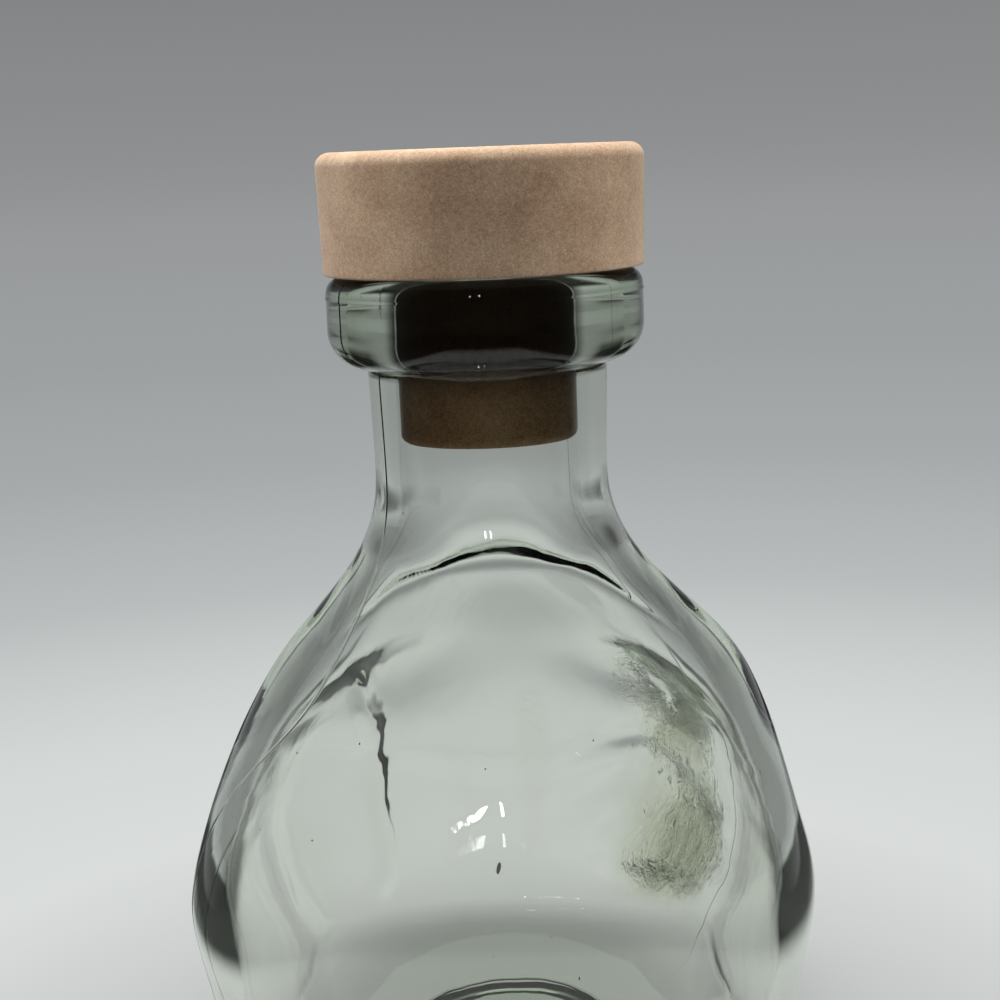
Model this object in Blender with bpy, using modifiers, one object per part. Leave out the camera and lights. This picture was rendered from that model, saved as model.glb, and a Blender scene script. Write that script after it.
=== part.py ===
"""Square-bodied glass decanter with a two-piece push-in stopper.

The decanter stands on the plane z = 0 with its axis on +Z and its faces square to X and Y.
The four faces run up as arched panels that turn late into the neck. The four corners stop
lower, as rounded lobes under hollow cones, so the body is lofted through unlike sections.
"""

import math

import bmesh
import bpy
import numpy as np

MM = 0.001

# Heights of the body's sections, each measured up from the section below it
LOW_SIDE_RISE = 26.9 * MM
HIP_RISE = 13.6 * MM
LOBE_TOP_RISE = 10.8 * MM
CORNER_FLARE_RISE = 8.2 * MM
CORNER_FOOT_RISE = 8.6 * MM
FACE_TURN_RISE = 7.6 * MM
FACE_FLARE_RISE = 9.8 * MM
FACE_FOOT_RISE = 8.0 * MM
NECK_ROOT_RISE = 9.3 * MM

# Distance from the axis to the middle of a face at each section
FOOT_FACE = 42.0 * MM
LOW_SIDE_FACE = 48.3 * MM
HIP_FACE = 50.1 * MM
LOBE_TOP_FACE = 47.6 * MM
CORNER_FLARE_FACE = 45.0 * MM
CORNER_FOOT_FACE = 42.9 * MM
FACE_TURN_FACE = 38.6 * MM
FACE_FLARE_FACE = 28.6 * MM
FACE_FOOT_FACE = 22.1 * MM

# Distance from the axis to a corner at each section
FOOT_CORNER = 47.5 * MM
LOW_SIDE_CORNER = 56.1 * MM
HIP_CORNER = 60.0 * MM
LOBE_TOP_CORNER = 55.3 * MM
CORNER_FLARE_CORNER = 45.8 * MM
CORNER_FOOT_CORNER = 34.9 * MM
FACE_TURN_CORNER = 29.2 * MM
FACE_FLARE_CORNER = 23.5 * MM
FACE_FOOT_CORNER = 20.4 * MM

# Angles from the middle of a face: where its panel ends, and where a hollow cone starts and is full
PANEL_EDGE = math.radians(25.0)
HOLLOW_START = math.radians(2.0)
HOLLOW_FULL = math.radians(38.0)

# Rounded heel between the sides and the ring that the decanter rests on
HEEL_HEIGHT = 9.0 * MM
REST_FACE = 33.0 * MM
REST_CORNER = 35.0 * MM

# Domed hollow in the underside, inside the resting ring
PUSH_UP_RADIUS = 19.0 * MM
PUSH_UP_HEIGHT = 4.5 * MM

# Glass thickness
BODY_WALL = 4.5 * MM
NECK_WALL = 4.8 * MM
FLOOR_WALL = 4.5 * MM
INNER_HEEL_HEIGHT = 8.0 * MM
INNER_HEEL_DEPTH = 11.0 * MM
STEEPEST_WALL_RATIO = 1.7

# Neck and its finish, a bead with a small round at the top and a large one below
NECK_ROOT_RADIUS = 19.2 * MM
NECK_TOP_RADIUS = 19.7 * MM
NECK_LENGTH = 19.9 * MM
BEAD_HEIGHT = 14.8 * MM
BEAD_STAND_OUT = 6.2 * MM
BEAD_TOP_ROUND = 2.8 * MM
BEAD_LOWER_ROUND = 6.0 * MM
MOUTH_ROUND = 1.0 * MM

# Stopper
HEAD_HEIGHT = 19.5 * MM
HEAD_OVERHANG = 0.6 * MM
HEAD_TAPER = 0.4 * MM
HEAD_TOP_ROUND = 2.3 * MM
HEAD_LOWER_ROUND = 0.4 * MM
SHANK_LENGTH = 27.1 * MM
SHANK_END_ROUND = 2.0 * MM
SHANK_CLEARANCE = 0.3 * MM
TENON_RADIUS = 8.7 * MM
TENON_LENGTH = 6.0 * MM
SEAT_GAP = 0.3 * MM

# Fineness of the facets
AROUND = 56
RING_STEP = 3.6 * MM
ARC_STEPS = 5

# Levels worked out from the sizes above
LOW_SIDE_Z = LOW_SIDE_RISE
HIP_Z = LOW_SIDE_Z + HIP_RISE
LOBE_TOP_Z = HIP_Z + LOBE_TOP_RISE
CORNER_FLARE_Z = LOBE_TOP_Z + CORNER_FLARE_RISE
CORNER_FOOT_Z = CORNER_FLARE_Z + CORNER_FOOT_RISE
FACE_TURN_Z = CORNER_FOOT_Z + FACE_TURN_RISE
FACE_FLARE_Z = FACE_TURN_Z + FACE_FLARE_RISE
FACE_FOOT_Z = FACE_FLARE_Z + FACE_FOOT_RISE
NECK_ROOT_Z = FACE_FOOT_Z + NECK_ROOT_RISE
BEAD_Z = NECK_ROOT_Z + NECK_LENGTH
RIM_Z = BEAD_Z + BEAD_HEIGHT
FLOOR_Z = PUSH_UP_HEIGHT + FLOOR_WALL

# Radii worked out from the sizes above
BORE_RADIUS = NECK_TOP_RADIUS - NECK_WALL
BEAD_RADIUS = NECK_TOP_RADIUS + BEAD_STAND_OUT
HEAD_RADIUS = BEAD_RADIUS + HEAD_OVERHANG
SHANK_RADIUS = BORE_RADIUS - SHANK_CLEARANCE

EIGHTH_TURN = math.pi / 4.0


def mix(low, high, share):
    """Value that runs from low to high as share runs from 0 to 1."""
    return low * (1.0 - share) + high * share


def ramp(value, start, end):
    """Smooth step from 0 at start to 1 at end."""
    share = min(max((value - start) / (end - start), 0.0), 1.0)
    return share * share * (3.0 - 2.0 * share)


def smooth_curve(stations):
    """Monotone cubic curve through (height, reach) stations, as a function of height."""
    heights, reaches = np.array(stations).T
    gaps = np.diff(heights)
    slopes = np.diff(reaches) / gaps
    tangents = np.concatenate(([slopes[0]], np.zeros(len(gaps) - 1), [slopes[-1]]))
    for i in range(1, len(gaps)):
        if slopes[i - 1] * slopes[i] > 0.0:
            below = gaps[i] * 2.0 + gaps[i - 1]
            above = gaps[i] + gaps[i - 1] * 2.0
            tangents[i] = (below + above) / (below / slopes[i - 1] + above / slopes[i])

    def curve(height):
        i = int(np.clip(np.searchsorted(heights, height) - 1, 0, len(gaps) - 1))
        t = (height - heights[i]) / gaps[i]
        start = (1.0 + 2.0 * t) * (1.0 - t) ** 2 * reaches[i]
        start += t * (1.0 - t) ** 2 * gaps[i] * tangents[i]
        end = t ** 2 * (3.0 - 2.0 * t) * reaches[i + 1]
        end += t ** 2 * (t - 1.0) * gaps[i] * tangents[i + 1]
        return start + end

    return curve


FACE_CURVE = smooth_curve((
    (0.0, FOOT_FACE),
    (LOW_SIDE_Z, LOW_SIDE_FACE),
    (HIP_Z, HIP_FACE),
    (LOBE_TOP_Z, LOBE_TOP_FACE),
    (CORNER_FLARE_Z, CORNER_FLARE_FACE),
    (CORNER_FOOT_Z, CORNER_FOOT_FACE),
    (FACE_TURN_Z, FACE_TURN_FACE),
    (FACE_FLARE_Z, FACE_FLARE_FACE),
    (FACE_FOOT_Z, FACE_FOOT_FACE),
    (NECK_ROOT_Z, NECK_ROOT_RADIUS),
    (BEAD_Z, NECK_TOP_RADIUS),
))

CORNER_CURVE = smooth_curve((
    (0.0, FOOT_CORNER),
    (LOW_SIDE_Z, LOW_SIDE_CORNER),
    (HIP_Z, HIP_CORNER),
    (LOBE_TOP_Z, LOBE_TOP_CORNER),
    (CORNER_FLARE_Z, CORNER_FLARE_CORNER),
    (CORNER_FOOT_Z, CORNER_FOOT_CORNER),
    (FACE_TURN_Z, FACE_TURN_CORNER),
    (FACE_FLARE_Z, FACE_FLARE_CORNER),
    (FACE_FOOT_Z, FACE_FOOT_CORNER),
    (NECK_ROOT_Z, NECK_ROOT_RADIUS),
    (BEAD_Z, NECK_TOP_RADIUS),
))


def angle_from_face(angle):
    """Angle from the middle of the nearest face, for one measured from -Y towards +X."""
    return abs((angle + EIGHTH_TURN) % (EIGHTH_TURN * 2.0) - EIGHTH_TURN)


def corner_share(from_face):
    """0 on a face's panel, rising to 1 in the middle of a rounded corner."""
    return (max(from_face - PANEL_EDGE, 0.0) / (EIGHTH_TURN - PANEL_EDGE)) ** 2


def side_reach(height, angle):
    """Distance from the axis to the side, as if it ran straight down to the resting plane."""
    from_face = angle_from_face(angle)
    face = FACE_CURVE(height)
    corner = CORNER_CURVE(height)
    flatness = 1.0 - ramp(height, CORNER_FLARE_Z, FACE_FLARE_Z)
    panel = face * mix(1.0, 1.0 / math.cos(from_face), flatness)
    sharp_corner = face * mix(1.0, 1.0 / math.cos(EIGHTH_TURN), flatness)
    lobe = panel - (sharp_corner - corner) * corner_share(from_face)
    hollow = mix(panel, corner, ramp(from_face, HOLLOW_START, HOLLOW_FULL))
    return mix(lobe, hollow, ramp(height, LOBE_TOP_Z, CORNER_FOOT_Z))


def rounded_in(height, start, rise, edge, side):
    """Reach that leaves edge at the height start and joins side on an arc, rise higher up."""
    short = 1.0 - min(max((height - start) / rise, 0.0), 1.0)
    return mix(edge, side, math.sqrt(1.0 - short * short))


def outer_reach(height, angle):
    """Distance from the axis to the outer surface of the glass below the bead."""
    edge = mix(REST_FACE, REST_CORNER, corner_share(angle_from_face(angle)))
    return rounded_in(height, 0.0, HEEL_HEIGHT, edge, side_reach(height, angle))


def cavity_reach(height, angle):
    """Distance from the axis to the inner surface, one wall inside the outer one."""
    step = RING_STEP / 2.0
    slope = side_reach(height + step, angle) - side_reach(height - step, angle)
    slant = math.hypot(1.0, slope / (step * 2.0))
    side = side_reach(height, angle) - BODY_WALL * min(slant, STEEPEST_WALL_RATIO)
    side = mix(side, BORE_RADIUS, ramp(height, FACE_FLARE_Z, NECK_ROOT_Z))
    return rounded_in(height, FLOOR_Z, INNER_HEEL_HEIGHT, side - INNER_HEEL_DEPTH, side)


def ring(height, reach_at):
    """Points round the axis at one height."""
    angles = np.arange(AROUND) * 2.0 * math.pi / AROUND
    reaches = [reach_at(height, angle) for angle in angles]
    return [(r * math.sin(a), -r * math.cos(a), height) for r, a in zip(reaches, angles)]


def steps_between(low, high):
    """Heights from low up to, but without, high, about one ring step apart."""
    count = max(2, round((high - low) / RING_STEP))
    return list(np.linspace(low, high, count, endpoint=False))


def heel_heights(start, rise):
    """Heights that divide a heel's arc evenly, from its start to just below its end."""
    angles = np.arange(ARC_STEPS) * math.pi / 2.0 / ARC_STEPS
    return [start + rise * (1.0 - math.cos(angle)) for angle in angles]


def arc(centre, radii, start, end):
    """Points on an ellipse's arc in the (radius, height) plane, angles up from the level."""
    angles = np.linspace(math.radians(start), math.radians(end), ARC_STEPS + 1)
    return [(centre[0] + radii[0] * math.cos(a), centre[1] + radii[1] * math.sin(a)) for a in angles]


def clear_scene():
    """Remove what the scene holds."""
    for item in list(bpy.data.objects):
        bpy.data.objects.remove(item, do_unlink=True)


def new_collection(name):
    """Collection of the given name, linked to the scene."""
    collection = bpy.data.collections.new(name)
    bpy.context.scene.collection.children.link(collection)
    return collection


def add_object(name, mesh, collection):
    """Object that shows a mesh, smooth but for its sharp edges."""
    mesh.shade_smooth()
    mesh.set_sharp_from_angle(angle=math.radians(35.0))
    item = bpy.data.objects.new(name, mesh)
    collection.objects.link(item)
    return item


def add_loft(name, rings, collection):
    """Closed solid skinned over rings of equally many points, from the lowest ring up."""
    form = bmesh.new()
    levels = [[form.verts.new(point) for point in points] for points in rings]
    for low, high in zip(levels, levels[1:]):
        for i in range(len(low)):
            j = (i + 1) % len(low)
            form.faces.new((low[i], low[j], high[j], high[i]))
    form.faces.new(levels[0][::-1])
    form.faces.new(levels[-1])
    mesh = bpy.data.meshes.new(name)
    form.to_mesh(mesh)
    form.free()
    return add_object(name, mesh, collection)


def add_turned(name, profile, collection):
    """Solid turned about Z from (radius, height) points that run down its outer side."""
    mesh = bpy.data.meshes.new(name)
    edges = [(i, i + 1) for i in range(len(profile) - 1)]
    mesh.from_pydata([(r, 0.0, z) for r, z in profile], edges, [])
    item = add_object(name, mesh, collection)
    screw = item.modifiers.new("turn", "SCREW")
    screw.steps = AROUND
    screw.render_steps = AROUND
    screw.use_merge_vertices = True
    screw.merge_threshold = 0.01 * MM
    screw.use_smooth_shade = True
    return item


def combine(item, tool, operation):
    """Join a tool to an item, or cut it out of the item, and show the tool as a wire only."""
    boolean = item.modifiers.new(tool.name, "BOOLEAN")
    boolean.operation = operation
    boolean.solver = "EXACT"
    boolean.object = tool
    tool.hide_render = True
    tool.display_type = "WIRE"


def give_material(item, name, colour, roughness, transmission=0.0, ior=1.5):
    """Give an item a plain surface of one colour."""
    material = bpy.data.materials.new(name)
    material.use_nodes = True
    shader = material.node_tree.nodes["Principled BSDF"]
    shader.inputs["Base Color"].default_value = (*colour, 1.0)
    shader.inputs["Metallic"].default_value = 0.0
    shader.inputs["Roughness"].default_value = roughness
    shader.inputs["Transmission Weight"].default_value = transmission
    shader.inputs["IOR"].default_value = ior
    item.data.materials.append(material)


def make_blank(collection):
    """Solid glass from the resting ring to inside the bead, without its hollow."""
    heights = heel_heights(0.0, HEEL_HEIGHT)
    heights += steps_between(HEEL_HEIGHT, NECK_ROOT_Z)
    heights += [NECK_ROOT_Z, BEAD_Z, BEAD_Z + BEAD_HEIGHT / 2.0]
    rings = [ring(height, outer_reach) for height in heights]
    return add_loft("decanter_glass", rings, collection)


def make_finish(collection):
    """Bead round the mouth, turned down from the rim to the neck."""
    profile = [(0.0, RIM_Z)]
    top = (BEAD_RADIUS - BEAD_TOP_ROUND, RIM_Z - BEAD_TOP_ROUND)
    profile += arc(top, (BEAD_TOP_ROUND, BEAD_TOP_ROUND), 90.0, 0.0)
    low = (BEAD_RADIUS - BEAD_LOWER_ROUND, BEAD_Z + BEAD_LOWER_ROUND)
    profile += arc(low, (BEAD_LOWER_ROUND, BEAD_LOWER_ROUND), 0.0, -90.0)
    profile += [(0.0, BEAD_Z)]
    return add_turned("finish_blank", profile, collection)


def make_cavity(collection):
    """Inside of the body, the bore and its rounded mouth, up past the rim."""
    heights = heel_heights(FLOOR_Z, INNER_HEEL_HEIGHT)
    heights += steps_between(FLOOR_Z + INNER_HEEL_HEIGHT, NECK_ROOT_Z)
    rings = [ring(height, cavity_reach) for height in heights]
    mouth = arc((BORE_RADIUS + MOUTH_ROUND, RIM_Z - MOUTH_ROUND), (MOUTH_ROUND, MOUTH_ROUND), 180.0, 90.0)
    bore = [(BORE_RADIUS, NECK_ROOT_Z)] + mouth[:-1]
    bore += [(BORE_RADIUS + MOUTH_ROUND, RIM_Z + MOUTH_ROUND)]
    for radius, height in bore:
        rings.append(ring(height, lambda level, angle, reach=radius: reach))
    return add_loft("cavity_cutter", rings, collection)


def make_push_up(collection):
    """Shallow dome that hollows the underside, with a skirt that runs below it."""
    shares = np.linspace(0.0, 1.0, ARC_STEPS + 1)
    profile = [(PUSH_UP_RADIUS * share, PUSH_UP_HEIGHT * (1.0 - share ** 3)) for share in shares]
    profile += [(PUSH_UP_RADIUS, -PUSH_UP_HEIGHT), (0.0, -PUSH_UP_HEIGHT)]
    return add_turned("push_up_cutter", profile, collection)


def make_head(collection):
    """Head of the stopper, with the blind recess that takes the shank's tenon."""
    under = SEAT_GAP
    top = under + HEAD_HEIGHT
    crown = (HEAD_RADIUS - HEAD_TOP_ROUND, top - HEAD_TOP_ROUND)
    lip = (HEAD_RADIUS - HEAD_TAPER - HEAD_LOWER_ROUND, under + HEAD_LOWER_ROUND)
    recess = (TENON_RADIUS + SEAT_GAP, TENON_LENGTH + SEAT_GAP)
    profile = [(0.0, top)]
    profile += arc(crown, (HEAD_TOP_ROUND, HEAD_TOP_ROUND), 90.0, 0.0)
    profile += arc(lip, (HEAD_LOWER_ROUND, HEAD_LOWER_ROUND), 0.0, -90.0)
    profile += [(recess[0], under), recess, (0.0, recess[1])]
    return add_turned("stopper_head", profile, collection)


def make_shank(collection):
    """Shank that plugs the bore, with the tenon that holds it in the head."""
    end = (SHANK_RADIUS - SHANK_END_ROUND, SHANK_END_ROUND - SHANK_LENGTH)
    profile = [(0.0, TENON_LENGTH), (TENON_RADIUS, TENON_LENGTH), (TENON_RADIUS, 0.0), (SHANK_RADIUS, 0.0)]
    profile += arc(end, (SHANK_END_ROUND, SHANK_END_ROUND), 0.0, -90.0)
    profile += [(0.0, -SHANK_LENGTH)]
    return add_turned("stopper_shank", profile, collection)


def build():
    """Make the decanter and its stopper."""
    clear_scene()
    parts = new_collection("decanter")
    cutters = new_collection("cutters")

    glass = make_blank(parts)
    combine(glass, make_finish(cutters), "UNION")
    combine(glass, make_cavity(cutters), "DIFFERENCE")
    combine(glass, make_push_up(cutters), "DIFFERENCE")
    give_material(glass, "clear_glass", (0.93, 0.95, 0.92), 0.02, transmission=1.0, ior=1.52)

    lift_axis = bpy.data.objects.new("stopper_lift_axis", None)
    lift_axis.location = (0.0, 0.0, RIM_Z)
    parts.objects.link(lift_axis)
    head = make_head(parts)
    shank = make_shank(parts)
    for piece in (head, shank):
        piece.parent = lift_axis
    give_material(head, "tan_composite", (0.37, 0.25, 0.17), 0.75)
    give_material(shank, "tan_composite_shank", (0.33, 0.22, 0.14), 0.75)


build()
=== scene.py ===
import math

import bmesh
import bpy
import numpy as np
from mathutils import Matrix


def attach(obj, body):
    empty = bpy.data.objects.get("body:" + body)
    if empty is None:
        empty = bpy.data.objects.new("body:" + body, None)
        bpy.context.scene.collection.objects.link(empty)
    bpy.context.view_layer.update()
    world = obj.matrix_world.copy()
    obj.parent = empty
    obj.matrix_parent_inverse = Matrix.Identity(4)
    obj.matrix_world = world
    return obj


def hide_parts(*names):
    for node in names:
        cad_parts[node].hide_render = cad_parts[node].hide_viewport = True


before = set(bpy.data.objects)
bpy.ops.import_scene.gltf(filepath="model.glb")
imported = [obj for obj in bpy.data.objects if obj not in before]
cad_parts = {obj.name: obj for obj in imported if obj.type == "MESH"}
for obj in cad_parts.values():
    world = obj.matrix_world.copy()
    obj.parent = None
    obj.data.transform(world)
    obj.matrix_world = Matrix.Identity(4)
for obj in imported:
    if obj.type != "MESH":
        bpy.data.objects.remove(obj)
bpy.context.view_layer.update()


# Studio sweep: a strip of matt grey-white paper that the decanter stands on. Painted light
# makes it brightest just behind the decanter, falling off behind it. The bench to both sides of it is dark.

MM = 0.001


def linear(hex_colour):
    """Linear RGB of an sRGB hex colour such as "d7dad9"."""
    values = [int(hex_colour[i:i + 2], 16) / 255.0 for i in (0, 2, 4)]
    return [v / 12.92 if v <= 0.04045 else ((v + 0.055) / 1.055) ** 2.4 for v in values]


def add_node(tree, kind, settings=None, values=None, links=None):
    """Add a node, set its properties and unlinked sockets, and link its inputs."""
    node = tree.nodes.new(kind)
    for name, value in (settings or {}).items():
        setattr(node, name, value)
    for socket, value in (values or {}).items():
        node.inputs[socket].default_value = value
    for socket, source in (links or {}).items():
        tree.links.new(source, node.inputs[socket])
    return node


def colour_stops(ramp, stops):
    """Give a colour ramp node its stops, each a position and a hex colour."""
    elements = ramp.color_ramp.elements
    while len(elements) < len(stops):
        elements.new(0.5)
    for element, (position, colour) in zip(elements, stops):
        element.position = position
        element.color = (*linear(colour), 1.0)


def new_tree(material):
    """Empty node tree of a material or world, with its output node."""
    material.use_nodes = True
    tree = material.node_tree
    tree.nodes.clear()
    kind = "ShaderNodeOutputWorld" if isinstance(material, bpy.types.World) else "ShaderNodeOutputMaterial"
    return tree, tree.nodes.new(kind)


def seen_directly(tree):
    """1 for rays that show the sweep itself: to the camera, off gloss and through glass."""
    path = add_node(tree, "ShaderNodeLightPath")
    gloss = add_node(tree, "ShaderNodeMath", {"operation": "MAXIMUM"},
                     links={0: path.outputs["Is Camera Ray"], 1: path.outputs["Is Glossy Ray"]})
    through = add_node(tree, "ShaderNodeMath", {"operation": "MAXIMUM"},
                       links={0: gloss.outputs[0], 1: path.outputs["Is Transmission Ray"]})
    return through.outputs[0]


# Distances in metres from the decanter over which the paper ends at the left, the right and
# the front, and over which the dark bench ends. LEFT_DARK and RIGHT_DARK are the share of the
# paper's tone that the bench keeps, and the light fades to the sides over LIT_BEARING.
LEFT_EDGE = (0.088, 0.115)
RIGHT_EDGE = (0.080, 0.115)
FRONT_END = (0.12, 0.26)
BENCH_END = (0.32, 0.50)
LEFT_DARK = 0.02
RIGHT_DARK = 0.03
LIT_BEARING = (math.radians(58.0), math.radians(80.0))


def lit_ahead(tree, x, y):
    """1 towards the lit wall behind, 0 to the sides and the front, by the bearing."""
    bearing = add_node(tree, "ShaderNodeMath", {"operation": "ARCTAN2"}, links={0: x, 1: y})
    size = add_node(tree, "ShaderNodeMath", {"operation": "ABSOLUTE"}, links={0: bearing.outputs[0]})
    ahead = add_node(tree, "ShaderNodeMapRange", {"interpolation_type": "SMOOTHSTEP"},
                     {"From Min": LIT_BEARING[0], "From Max": LIT_BEARING[1], "To Min": 1.0, "To Max": 0.0},
                     {"Value": size.outputs[0]})
    return ahead.outputs["Result"]


def paper_share(tree, x, y, distance):
    """1 over the paper and past the bench's end, and nearly 0 over the bench beside the paper."""
    shares = []
    for (near, far), dark, sign in ((LEFT_EDGE, LEFT_DARK, -1.0), (RIGHT_EDGE, RIGHT_DARK, 1.0)):
        values = {"From Min": near * sign, "From Max": far * sign, "To Min": 1.0, "To Max": dark}
        side = add_node(tree, "ShaderNodeMapRange", {"interpolation_type": "SMOOTHSTEP"}, values, {"Value": x})
        shares.append(side.outputs["Result"])
    both = add_node(tree, "ShaderNodeMath", {"operation": "MINIMUM"},
                    links={0: shares[0], 1: shares[1]})
    behind = add_node(tree, "ShaderNodeMapRange", {"interpolation_type": "SMOOTHSTEP"},
                      {"From Min": -FRONT_END[1], "From Max": -FRONT_END[0]}, {"Value": y})
    sheet = add_node(tree, "ShaderNodeMath", {"operation": "MULTIPLY"},
                     links={0: both.outputs[0], 1: behind.outputs["Result"]})
    past = add_node(tree, "ShaderNodeMapRange", {"interpolation_type": "SMOOTHSTEP"},
                    {"From Min": BENCH_END[0], "From Max": BENCH_END[1]}, {"Value": distance})
    lit = add_node(tree, "ShaderNodeMath", {"operation": "MULTIPLY"},
                   links={0: past.outputs["Result"], 1: lit_ahead(tree, x, y)})
    far_off = add_node(tree, "ShaderNodeMath", {"operation": "MAXIMUM"},
                       links={0: sheet.outputs[0], 1: lit.outputs[0]})
    path = add_node(tree, "ShaderNodeLightPath")
    share = add_node(tree, "ShaderNodeMath", {"operation": "MAXIMUM"},
                     links={0: far_off.outputs[0], 1: path.outputs["Is Camera Ray"]})
    return share.outputs[0]


# Matt paper: its tone at each distance in metres from the decanter, a painted pool of light
# that is brightest just behind the decanter and falls off further away. Seen directly it mostly
# shows that tone by its own light. Close by, the lamps give the rest, so a shadow shows, and
# over the distances in PAPER_GLOW its own light becomes the whole.
PAPER_RADIUS = 3.0
PAPER_SIDES = 96
PAPER_LIGHT_STOPS = ((0.0, "b1b5b3"), (0.05, "b7bab8"), (0.13, "cacdcc"), (0.22, "c4c8c7"), (0.38, "b0b4b4"),
               (0.64, "a7aaab"), (1.2, "9da0a1"), (PAPER_RADIUS, "989a9c"))
PAPER_GLOW = (0.3, 1.0)
PAPER_OWN_LIGHT = 0.8
BENCH_TONE = (0.01, 0.01, 0.01, 1.0)

paper = bpy.data.materials.new("matt_studio_paper")
tree, output = new_tree(paper)
place = add_node(tree, "ShaderNodeTexCoord")
distance = add_node(tree, "ShaderNodeVectorMath", {"operation": "LENGTH"}, links={0: place.outputs["Object"]})
span = add_node(tree, "ShaderNodeMapRange", values={"From Max": PAPER_RADIUS},
                links={"Value": distance.outputs["Value"]})
tone = add_node(tree, "ShaderNodeValToRGB", links={"Fac": span.outputs["Result"]})
colour_stops(tone, [(position / PAPER_RADIUS, colour) for position, colour in PAPER_LIGHT_STOPS])
axes = add_node(tree, "ShaderNodeSeparateXYZ", links={0: place.outputs["Object"]})
on_paper = paper_share(tree, axes.outputs["X"], axes.outputs["Y"], distance.outputs["Value"])
bench = add_node(tree, "ShaderNodeMix", {"data_type": "RGBA"}, {6: BENCH_TONE},
                 {"Factor": on_paper, 7: tone.outputs["Color"]})
matt = add_node(tree, "ShaderNodeBsdfDiffuse", links={"Color": bench.outputs[2]})
glow = add_node(tree, "ShaderNodeEmission", links={"Color": bench.outputs[2]})
own_light = add_node(tree, "ShaderNodeMapRange",
                     values={"From Min": PAPER_GLOW[0], "From Max": PAPER_GLOW[1], "To Min": PAPER_OWN_LIGHT},
                     links={"Value": distance.outputs["Value"]})
share = add_node(tree, "ShaderNodeMath", {"operation": "MULTIPLY"},
                 links={0: seen_directly(tree), 1: own_light.outputs["Result"]})
blend = add_node(tree, "ShaderNodeMixShader", links={0: share.outputs[0], 1: matt.outputs[0], 2: glow.outputs[0]})
tree.links.new(blend.outputs[0], output.inputs["Surface"])

form = bmesh.new()
bmesh.ops.create_circle(form, cap_ends=True, segments=PAPER_SIDES, radius=PAPER_RADIUS)
mesh = bpy.data.meshes.new("studio_paper")
form.to_mesh(mesh)
form.free()
mesh.materials.append(paper)
studio_paper = bpy.data.objects.new("studio_paper", mesh)
bpy.context.scene.collection.objects.link(studio_paper)


# Room round the sweep: what gloss and glass show above the paper. The wall behind goes on in
# the paper's far grey and is dark higher up. Gloss and glass show the sides and the front dark,
# as the unlit part of a room is, and the camera sees every side at the back wall's strength.

# The back wall's tone by how steeply it is seen, from -1 straight down to 1 straight up, and
# how much light comes from the front and the sides. ROOM_DEPTH and SIDE_SPAN are directions too.
ROOM_STOPS = ((-0.42, "c4c8c7"), (-0.17, "a7aaab"), (-0.04, "989a9c"), (0.0, "8f9091"), (0.10, "828384"),
              (0.20, "4a4b4a"), (0.34, "222322"), (1.0, "1a1b1a"))
SIDE_TONE = "8a8c8d"
SIDE_SPAN = (0.40, 0.80)
ROOM_DEPTH = (-0.6, 0.4)
ROOM_FRONT = 0.38
SIDE_DARK = 0.02
AMBIENT = 0.40
AMBIENT_FRONT = 0.68
AMBIENT_TONE = (1.0, 0.99, 0.98, 1.0)

world = bpy.data.worlds.new("studio_room")
bpy.context.scene.world = world
tree, output = new_tree(world)
place = add_node(tree, "ShaderNodeTexCoord")
axes = add_node(tree, "ShaderNodeSeparateXYZ", links={0: place.outputs["Generated"]})
span = add_node(tree, "ShaderNodeMapRange", values={"From Min": -1.0}, links={"Value": axes.outputs["Z"]})
tone = add_node(tree, "ShaderNodeValToRGB", links={"Fac": span.outputs["Result"]})
colour_stops(tone, [((level + 1.0) / 2.0, colour) for level, colour in ROOM_STOPS])
depth = add_node(tree, "ShaderNodeMapRange", {"interpolation_type": "SMOOTHSTEP"},
                 {"From Min": ROOM_DEPTH[0], "From Max": ROOM_DEPTH[1], "To Min": ROOM_FRONT, "To Max": 1.0},
                 {"Value": axes.outputs["Y"]})
aside = add_node(tree, "ShaderNodeMath", {"operation": "ABSOLUTE"}, links={0: axes.outputs["X"]})
side = add_node(tree, "ShaderNodeMapRange", {"interpolation_type": "SMOOTHSTEP"},
                {"From Min": SIDE_SPAN[0], "From Max": SIDE_SPAN[1]}, {"Value": aside.outputs[0]})
walls = add_node(tree, "ShaderNodeMix", {"data_type": "RGBA"}, {7: (*linear(SIDE_TONE), 1.0)},
                 {"Factor": side.outputs["Result"], 6: tone.outputs["Color"]})
ahead = add_node(tree, "ShaderNodeMapRange", values={"To Min": SIDE_DARK},
                 links={"Value": lit_ahead(tree, axes.outputs["X"], axes.outputs["Y"])})
strength = add_node(tree, "ShaderNodeMath", {"operation": "MULTIPLY"},
                    links={0: ahead.outputs["Result"], 1: depth.outputs["Result"]})
path = add_node(tree, "ShaderNodeLightPath")
shown = add_node(tree, "ShaderNodeMath", {"operation": "MAXIMUM"},
                 links={0: strength.outputs[0], 1: path.outputs["Is Camera Ray"]})
room = add_node(tree, "ShaderNodeBackground", links={"Color": walls.outputs[2], "Strength": shown.outputs[0]})
front = add_node(tree, "ShaderNodeMapRange", {"interpolation_type": "SMOOTHSTEP"},
                 {"From Min": ROOM_DEPTH[0], "From Max": ROOM_DEPTH[1],
                  "To Min": AMBIENT * AMBIENT_FRONT, "To Max": AMBIENT}, {"Value": axes.outputs["Y"]})
soft = add_node(tree, "ShaderNodeBackground", values={"Color": AMBIENT_TONE},
                links={"Strength": front.outputs["Result"]})
blend = add_node(tree, "ShaderNodeMixShader", links={0: seen_directly(tree), 1: soft.outputs[0], 2: room.outputs[0]})
tree.links.new(blend.outputs[0], output.inputs["Surface"])


# Lamps: a large softbox overhead and one on each side, which gloss doesn't show, and two
# small lights far in front, which leave the small bright marks on the glass.


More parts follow.
